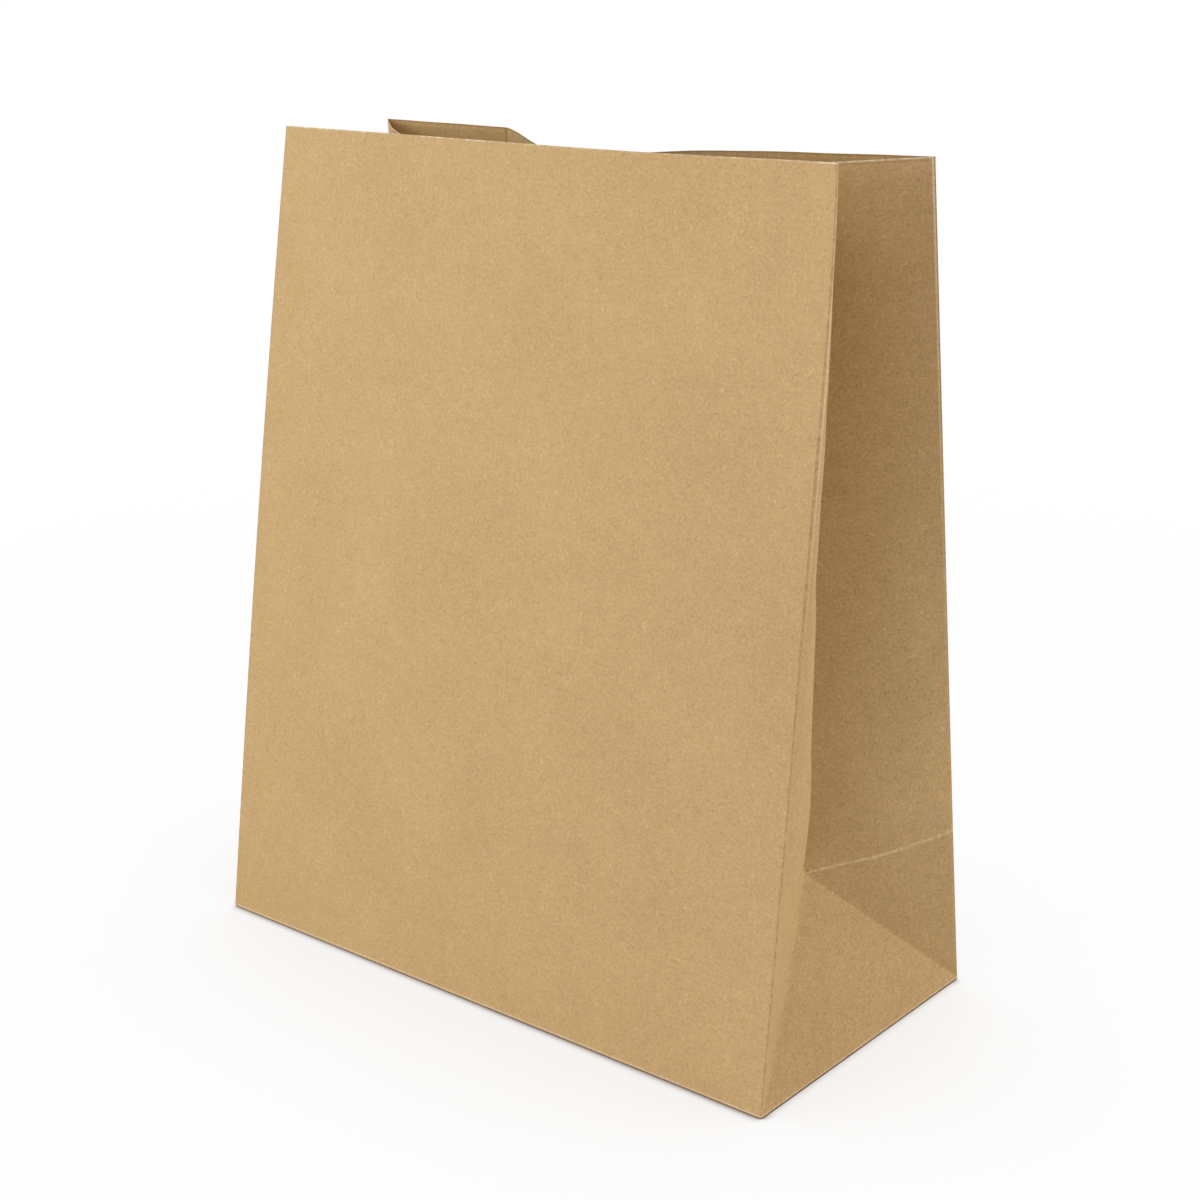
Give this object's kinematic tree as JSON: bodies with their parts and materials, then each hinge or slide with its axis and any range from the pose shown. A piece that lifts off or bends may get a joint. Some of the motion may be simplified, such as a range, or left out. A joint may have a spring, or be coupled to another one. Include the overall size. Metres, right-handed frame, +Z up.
{
  "type": "brown paper lunch bag",
  "caption": "Brown kraft paper lunch bag standing open, with a folded flat base, gusseted sides and a plain cut rim.",
  "frame": {"origin": "middle of the rectangular base, in the plane that the bag stands on", "axes": "+Z up towards the mouth, -Y towards the front wall, +X towards the right gusset seen from the front"},
  "size_m": [0.26, 0.1262, 0.3038],
  "materials": {
    "kraft_paper": "matte"
  },
  "bodies": {
    "root": {"paper_bag": "kraft_paper"}
  },
  "joints": []
}
